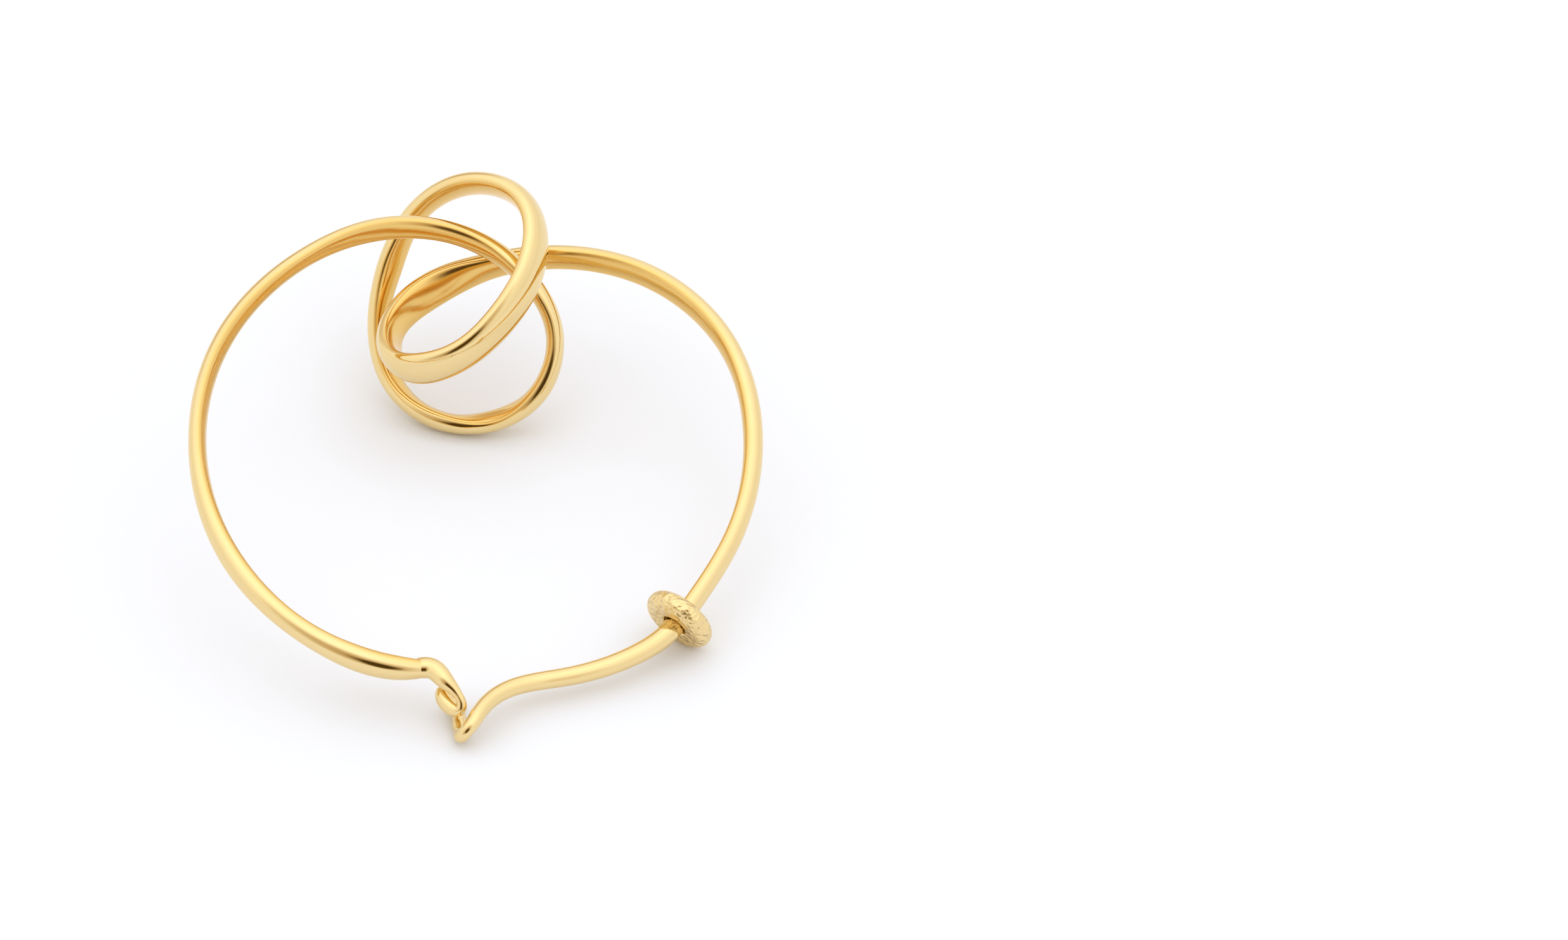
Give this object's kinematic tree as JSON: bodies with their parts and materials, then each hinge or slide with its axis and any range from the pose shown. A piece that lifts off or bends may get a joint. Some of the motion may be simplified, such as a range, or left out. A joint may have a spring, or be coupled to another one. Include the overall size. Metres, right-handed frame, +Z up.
{
  "type": "drop earring",
  "caption": "Forged gold wire hoop with a knot of two open turns at the top, closed by an ear wire that leaves a disc stop and hooks round a small catch with a narrow eye.",
  "frame": {"origin": "centre of the bounding box in X and Y, on the surface it lies on", "axes": "+Z up from the surface, +X from the catch side of the hoop to the disc side, +Y towards the knot"},
  "size_m": [0.0302, 0.0334, 0.0117],
  "materials": {
    "gold": "polished 18 carat yellow gold, slightly uneven from the hammer"
  },
  "bodies": {
    "root": {"hoop_wire": "gold", "stop_disc": "gold", "ear_wire": "gold"}
  },
  "joints": []
}
